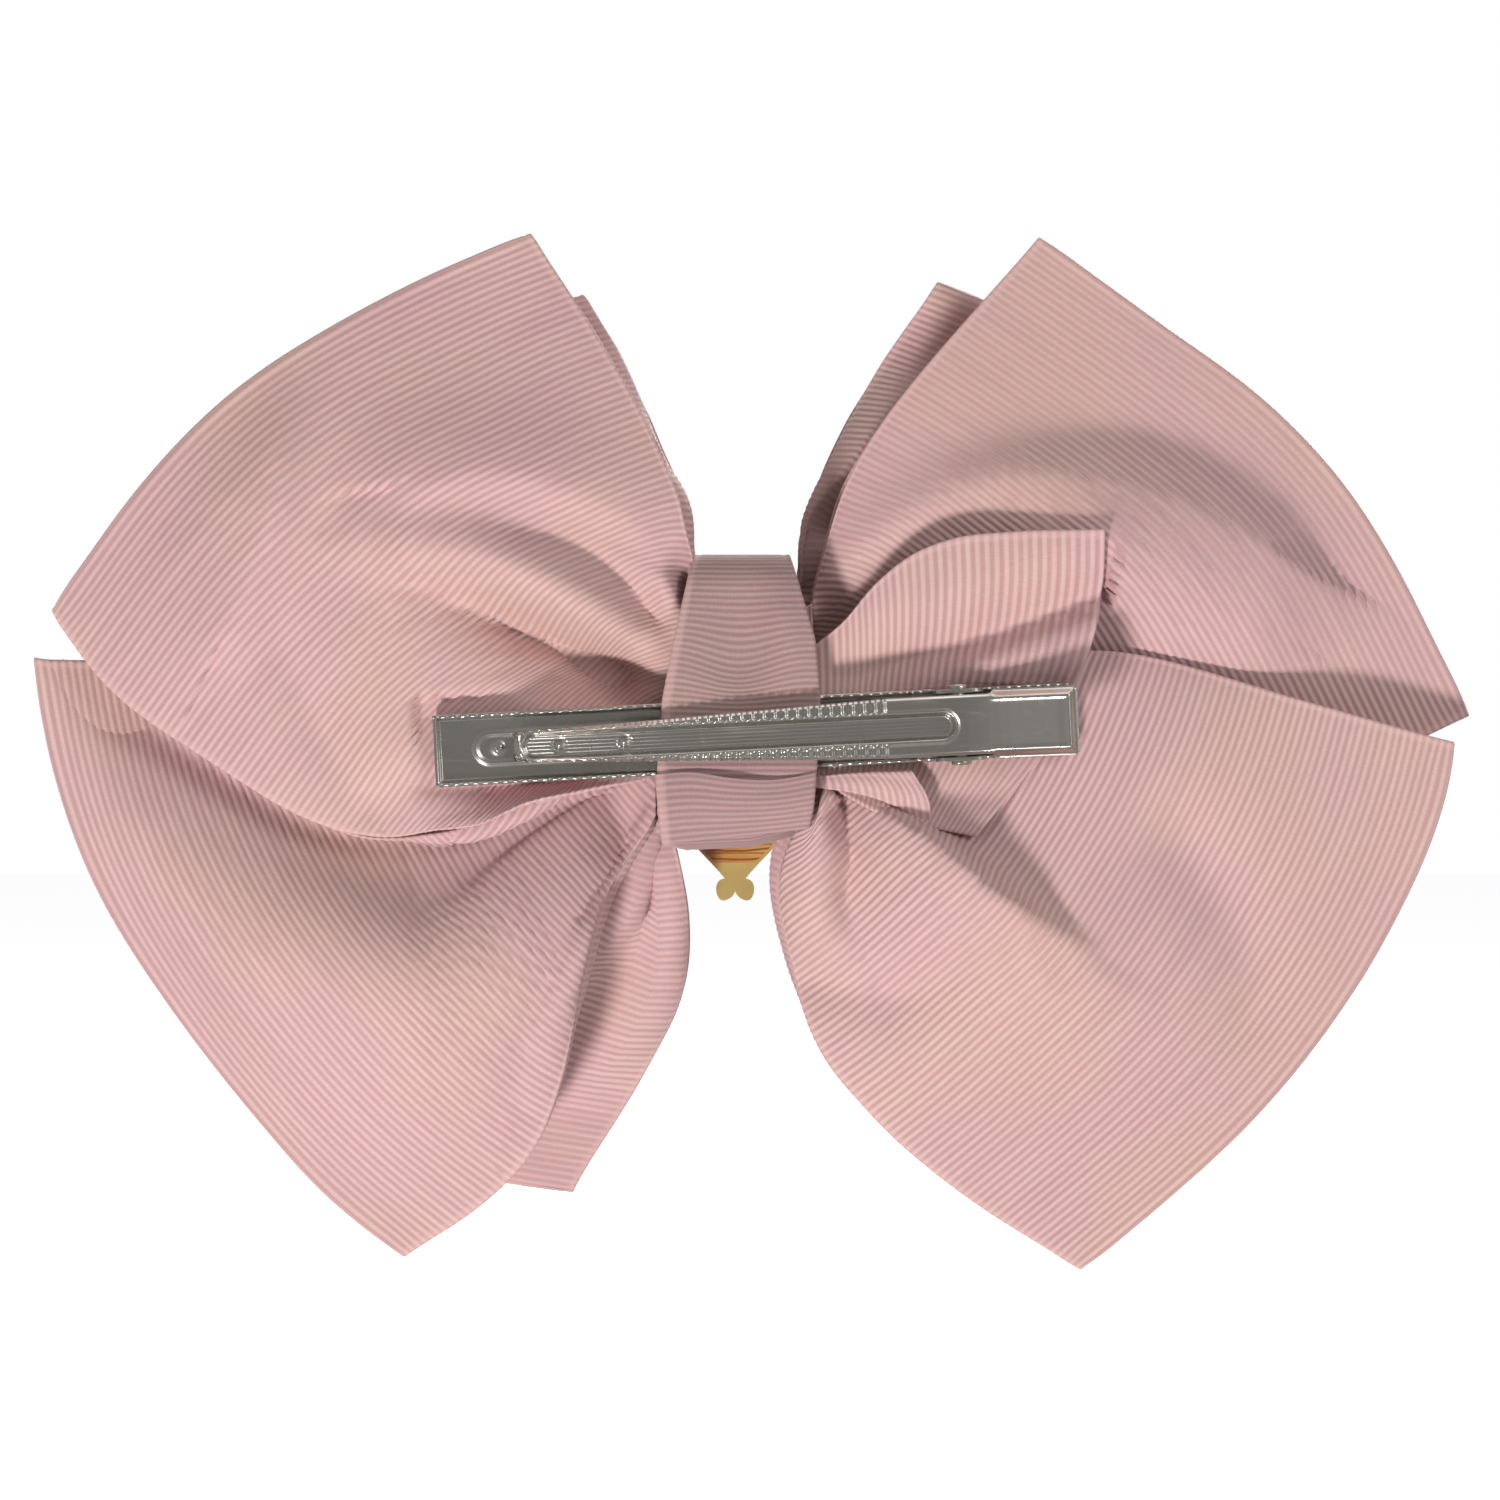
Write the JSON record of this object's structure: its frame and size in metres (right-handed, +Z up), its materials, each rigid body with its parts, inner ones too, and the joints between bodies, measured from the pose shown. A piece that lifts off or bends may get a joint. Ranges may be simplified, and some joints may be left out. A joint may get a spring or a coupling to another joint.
{
  "type": "hair bow",
  "caption": "Large pinwheel hair bow of wide grosgrain ribbon loops, gathered under a ribbon knot, with a drop charm and a toothed alligator clip.",
  "frame": {"origin": "on the gripping face of the clip's base arm, at the middle of the knot, where the clipped hair lies", "axes": "+X along the bow's width towards the clip's thumb tab, +Z up as worn, -Y out of the clip side towards the head, +Y out of the charm side"},
  "size_m": [0.1699, 0.0498, 0.1215],
  "materials": {
    "ribbon_wide": "ribbed grosgrain, dusty pink",
    "ribbon_narrow": "ribbed grosgrain, dusty pink",
    "thread": "twisted sewing thread",
    "charm_metal": "satin gold plate",
    "charm_enamel": "amber enamel in narrow bands",
    "glue": "hot-melt glue",
    "clip_steel": "bright nickel plate with fine rubs",
    "spring_steel": "plain spring steel"
  },
  "bodies": {
    "bow": {"ribbon_layer_1": "ribbon_wide", "ribbon_layer_2": "ribbon_wide", "ribbon_layer_3": "ribbon_wide", "ribbon_layer_4": "ribbon_wide", "ribbon_tail_long": "ribbon_wide", "ribbon_tail_short": "ribbon_wide", "knot_band": "ribbon_narrow", "gathering_thread": "thread", "charm_plate": "charm_metal", "charm_back_enamel": "charm_enamel", "charm_front_dome": "charm_enamel", "charm_glue_pad": "glue", "clip_base_arm": "clip_steel", "clip_hinge_pin": "clip_steel", "clip_spring": "spring_steel"},
    "jaw": {"clip_jaw_arm": "clip_steel"}
  },
  "joints": [
    {"name": "jaw_hinge", "type": "hinge", "parent": "bow", "child": "jaw", "pos_m": [0.02557, -0.0026, 0.00123], "axis": [-0.0523, -0.0436, 0.9977], "range_deg": [0, 20], "stiffness_Nm_per_rad": 0.1, "springref_deg": -28.65, "deforming": ["clip_spring"]}
  ]
}
